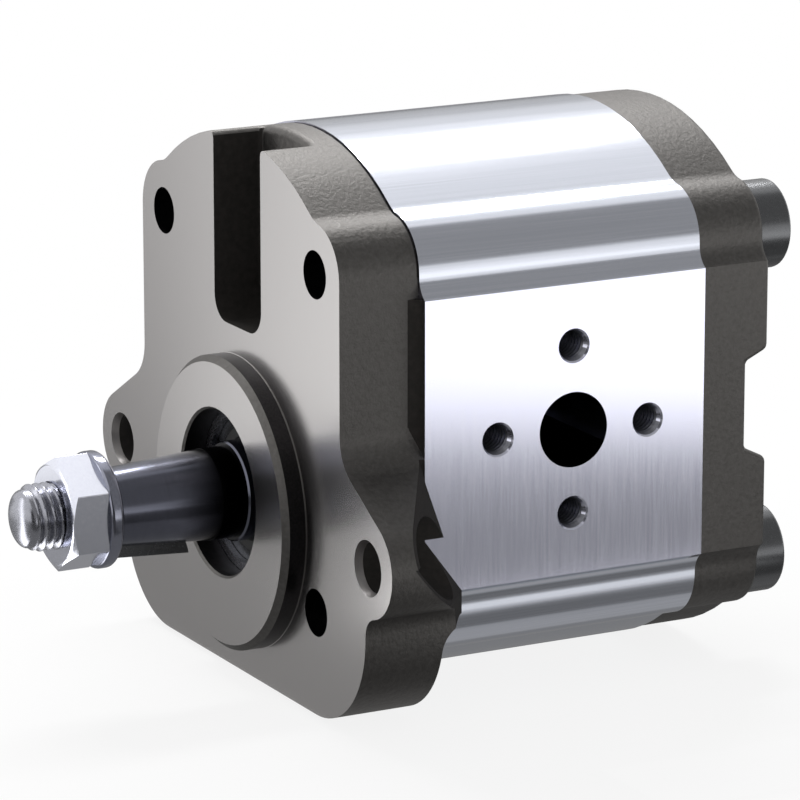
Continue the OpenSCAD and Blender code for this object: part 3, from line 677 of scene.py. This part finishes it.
# Its thinner zinc lets the dark spring steel through. Its marks are drawn as wide as the nut's.
thin_zinc = surfaced("thin_zinc_on_spring_steel", ("#8b8d9a", "#989aa7"), roughness=(0.16, 0.22),
                     grain=0.4 * mm, relief=0.0008 * mm)
piece_from(washer_mesh, "split_washer", "lock_washer", [thin_zinc])


# The shaft key
# A half-moon key of blackened steel, pressed into its seat in the taper.
key_edge = 0.15 * mm
key_mesh = loose_mesh("shaft_key")
round_edges(key_mesh, sharp_edges(key_mesh, lambda p: True), key_edge)
piece_from(key_mesh, "disc_key", "shaft_key", [black_steel])


# The driven shaft and the dowel pins
# The driven gear and its journals are one ground bar like the drive shaft. The dowels that line
# up the covers are ground pins.
def finish(material, *nodes):
    """Gives CAD nodes that keep their shape their own material."""
    for node in nodes:
        frame["nodes"][node].data.materials.clear()
        frame["nodes"][node].data.materials.append(material)


finish(oil_wet_steel, "driven_gear_shaft")
finish(ground_steel, "front_dowel_pins", "rear_dowel_pins")


# The seals
# Moulded nitrile rubber rings between the covers and the body, rubber strips that press the
# bearing blocks on the gears, and the lip that runs on the shaft.

# Nitrile is black and slightly dusty, with the dull skin of its mould. The dust is drawn
# 0.4 mm wide to show.
nitrile_rubber = surfaced("nitrile_rubber", ("#161617", "#232325"), roughness=(0.5, 0.62),
                          grain=0.4 * mm, relief=0.004 * mm, metallic=0)
finish(nitrile_rubber, "front_body_seal", "rear_body_seal", "front_pressure_seal",
       "rear_pressure_seal", "shaft_seal_lip")


# The backup strips
# Moulded nylon strips that keep the pressure seals from being squeezed into the gaps.

# Nylon is a milky white with a soft shine, and clouds of about half a millimetre.
moulded_nylon = surfaced("moulded_nylon", ("#dcd8cb", "#e8e5da"), roughness=(0.4, 0.5),
                         grain=0.6 * mm, relief=0.002 * mm, metallic=0)
finish(moulded_nylon, "front_backup_ring", "rear_backup_ring")


# The bearing blocks and bushes
# Machined aluminium blocks carry the journals in rolled bushes of sintered bronze.

# Machined alloy shows close cutter marks, and sintered bronze a fine sandy grain. Marks and
# powder of about 0.1 mm are drawn 0.3 to 0.4 mm wide to show.
block_aluminium = surfaced("machined_block_aluminium", ("#a9abb0", "#c2c4c8"), roughness=(0.28, 0.36),
                           grain=0.4 * mm, relief=0.003 * mm)
sintered_bronze = surfaced("sintered_bronze", ("#8a6a3f", "#b08a58"), roughness=(0.3, 0.4),
                           grain=0.3 * mm, relief=0.004 * mm)
finish(block_aluminium, "front_bearing_block", "rear_bearing_block")
finish(sintered_bronze, "drive_front_bush", "drive_rear_bush", "driven_front_bush", "driven_rear_bush")


# The shaft seal's case, its spring and the retaining ring
# The seal sits in a case of pressed and blackened steel, a zinc-plated coil holds its lip on
# the shaft, and a bright ring of spring steel keeps it in the cover.
finish(black_steel, "shaft_seal_case")
finish(rolled_steel, "seal_circlip")
finish(zinc_plate, "garter_spring")


# The studio
# A white table under an even sky and one strip lamp. The camera, mirrors and glass see it plain
# white, and boards that show only in reflections shade the metal as beside a real product.
table_grey = "#f4f4f4"
table_roughness = 0.9
# How far the table reaches each way, in metres
table_half = 4
# The pump's shadow shows on the table near it and fades out between these distances, in
# metres. Near the pump this share of what the camera sees is plain white.
shade_start = 0.1
shade_end = 0.22
table_share_near = 0.86
# The strength of the sky's light that scatters, beside 1 for the white that is seen
scattered_sky = 0.5
floor_z = cad_box[0][2]


def seen_rays(tree):
    """A socket that is 1 for what the camera, a mirror or glass sees, and 0 for light that scatters."""
    rays = add(tree, "LightPath", {})
    mirrored = add(tree, "Math", {"operation": "MAXIMUM"},
                   {0: rays.outputs["Is Camera Ray"], 1: rays.outputs["Is Glossy Ray"]})
    return add(tree, "Math", {"operation": "MAXIMUM"},
               {0: mirrored.outputs[0], 1: rays.outputs["Is Transmission Ray"]}).outputs[0]


def board(name, corners, material):
    """A flat four-cornered sheet of the studio, which isn't part of the pump."""
    data = bpy.data.meshes.new(name)
    data.from_pydata(corners, [], [(0, 1, 2, 3)])
    data.materials.append(material)
    sheet = bpy.data.objects.new(name, data)
    bpy.context.scene.collection.objects.link(sheet)
    return sheet


white_table = bpy.data.materials.new("white_table")
white_table.use_nodes = True
table_tree = white_table.node_tree
table_surface = table_tree.nodes["Principled BSDF"]
table_surface.inputs["Base Color"].default_value = linear(table_grey)
table_surface.inputs["Roughness"].default_value = table_roughness
table_place = add(table_tree, "TexCoord", {})
table_reach = add(table_tree, "VectorMath", {"operation": "LENGTH"},
                  {0: table_place.outputs["Object"]})
table_white = add(table_tree, "MapRange", {"From Min": shade_start, "From Max": shade_end,
                                           "To Min": table_share_near, "To Max": 1},
                  {"Value": table_reach.outputs["Value"]})
table_share = add(table_tree, "Math", {"operation": "MULTIPLY"},
                  {0: table_white.outputs["Result"], 1: seen_rays(table_tree)})
table_glow = add(table_tree, "Emission", {"Strength": 1})
table_mix = add(table_tree, "MixShader", {},
                {0: table_share.outputs[0], 1: table_surface.outputs["BSDF"],
                 2: table_glow.outputs["Emission"]})
table_end = table_tree.nodes["Material Output"]
table_tree.links.new(table_mix.outputs["Shader"], table_end.inputs["Surface"])
table_corners = [(-1, -1), (1, -1), (1, 1), (-1, 1)]
board("table", [(x * table_half, y * table_half, floor_z) for x, y in table_corners], white_table)

world = bpy.data.worlds.new("studio")
bpy.context.scene.world = world
world.use_nodes = True
sky = world.node_tree
level = add(sky, "MapRange", {"To Min": scattered_sky, "To Max": 1}, {"Value": seen_rays(sky)})
sky.links.new(level.outputs["Result"], sky.nodes["Background"].inputs["Strength"])
sky.nodes["Background"].inputs["Color"].default_value = (1, 1, 1, 1)


def reflected_board(name, corners, brightness):
    """A board of that brightness that shows only in the metal's reflections."""
    paper = bpy.data.materials.new(name)
    paper.use_nodes = True
    paper.node_tree.nodes.clear()
    glow = add(paper.node_tree, "Emission", {"Strength": brightness})
    add(paper.node_tree, "OutputMaterial", {}, {"Surface": glow.outputs["Emission"]})
    sheet = board(name, corners, paper)
    sheet.visible_camera = False
    sheet.visible_diffuse = False
    sheet.visible_transmission = False
    sheet.visible_shadow = False


def strip_lamp(name, place, width, length, power):
    """A long soft lamp that lies along the pump's axis and shines square onto it."""
    lamp = bpy.data.lights.new(name, "AREA")
    lamp.shape = "RECTANGLE"
    lamp.size = width
    lamp.size_y = length
    lamp.energy = power
    holder = bpy.data.objects.new(name, lamp)
    holder.location = place
    holder.rotation_euler = (0, math.atan2(place[0], place[2] - view_target.z), 0)
    bpy.context.scene.collection.objects.link(holder)


# Boards laid on the table, which the lower sides and the flange mirror: painted shade of the table near
# the pump and painted light beyond it. The brightness of each, and x and y of its corners in metres
board_gap = 0.05 * mm
just_over = floor_z + board_gap
floor_boards = {
    "under_board": (0.23, [(-0.12, -0.0005), (0.031, -0.0005), (0.031, 0.35), (-0.12, 0.35)]),
    "edge_board": (0.37, [(0.031, -0.0005), (0.045, -0.0005), (0.045, 0.35), (0.031, 0.35)]),
    "near_floor_board": (0.17, [(0.045, -0.0005), (0.063, -0.0005), (0.063, 0.35), (0.045, 0.35)]),
    "dim_floor_board": (0.27, [(0.063, -0.0005), (0.07, -0.0005), (0.07, 0.35), (0.063, 0.35)]),
    "half_floor_board": (0.5, [(0.07, 0.03), (0.077, 0.03), (0.077, 0.115), (0.07, 0.115)]),
    "light_floor_board": (1, [(0.077, 0.03), (0.1, 0.03), (0.1, 0.115), (0.077, 0.115)]),
    "right_floor_board": (0.19, [(0.1, -0.0005), (0.29, -0.0005), (0.075, 0.35), (0.1, 0.115)]),
    "front_edge_board": (0.19, [(0.07, -0.0005), (0.1, -0.0005), (0.1, 0.03), (0.07, 0.03)]),
    "rear_edge_board": (0.19, [(0.07, 0.115), (0.1, 0.115), (0.075, 0.35), (0.07, 0.35)]),
    "far_right_floor_board": (1.5, [(0.29, -0.0005), (0.9, -0.0005), (0.9, 0.35), (0.075, 0.35)]),
    "front_floor_board": (0.27, [(-0.13, -0.3), (0.05, -0.3), (0.05, -0.001), (-0.13, -0.001)]),
    "left_floor_board": (0.3, [(-0.13, -0.063), (-0.13, 0.3), (-1.2, 0.6), (-1.2, -0.58)]),
    "front_right_floor_board": (0.1, [(0.05, -0.6), (0.8, -0.6), (0.8, -0.0005), (0.05, -0.0005)]),
}
for name, (brightness, corners) in floor_boards.items():
    reflected_board(name, [(x, y, just_over) for x, y in corners], brightness)

# The crown mirrors a board that leans over the pump from the right, and boards that stand at
# its left in tiers. Edges of the right board are x and z, and each tier is its lowest and
# highest z and its brightness. All run along the pump, and places are in metres.
right_board_low = (0.8, 0.13)
right_board_high = (-0.05, 0.8)
right_board_start = -0.25
right_board_grey = 0.33
left_board_x = -0.7
left_board_start = -0.1
left_tiers = ((-0.03, 0.1, 0.2), (0.1, 0.3, 0.5), (0.3, 0.55, 0.8))
boards_end = 1.2


def along_pump(one_edge, other_edge, start):
    """Corners of a board along the pump's axis, from x and z of its two long edges."""
    (x, z), (other_x, other_z) = one_edge, other_edge
    return [(x, start, z), (x, boards_end, z),
            (other_x, boards_end, other_z), (other_x, start, other_z)]


reflected_board("right_board", along_pump(right_board_low, right_board_high, right_board_start),
                right_board_grey)
for tier, (low, high, brightness) in enumerate(left_tiers):
    corners = along_pump((left_board_x, high), (left_board_x, low), left_board_start)
    reflected_board("left_board_%d" % tier, corners, brightness)

# A dark board at the camera, which the faces that look at it mirror: half its width and height
camera_board_half_x = 0.5
camera_board_half_z = 0.45
camera_board_grey = 0.06
across = Vector((towards_camera.y, -towards_camera.x, 0)).normalized() * camera_board_half_x
upwards = across.cross(towards_camera).normalized() * camera_board_half_z
behind_camera = view_target + view_distance * towards_camera
camera_corners = [behind_camera - across - upwards, behind_camera + across - upwards,
                  behind_camera + across + upwards, behind_camera - across + upwards]
reflected_board("camera_board", camera_corners, camera_board_grey)

# A bright window at the left front, which the domed end of the stud shows as an upright streak. A
# glowing sheet on the table paints its light there as a painted pool of light, which the nut and the
# stud mirror from below and which ends under the nut. Places are x and y in metres.
window_near = (-0.33, -0.56)
window_far = (-0.41, -0.48)
window_top = 0.35
window_light = 3.5
light_end_near = (-0.002, -0.060)
light_end_far = (-0.022, -0.045)
reflected_board("window", [(*window_near, floor_z), (*window_far, floor_z),
                           (*window_far, window_top), (*window_near, window_top)], window_light)
over_boards = just_over + board_gap
# The painted pool of the window's light on the table
reflected_board("painted_window_light_on_table", [(*light_end_near, over_boards), (*window_near, over_boards),
                                    (*window_far, over_boards), (*light_end_far, over_boards)],
                window_light)
strip_lamp("strip_lamp", place=(-0.47, 0.16, 0.67), width=0.08, length=0.72, power=5.5)
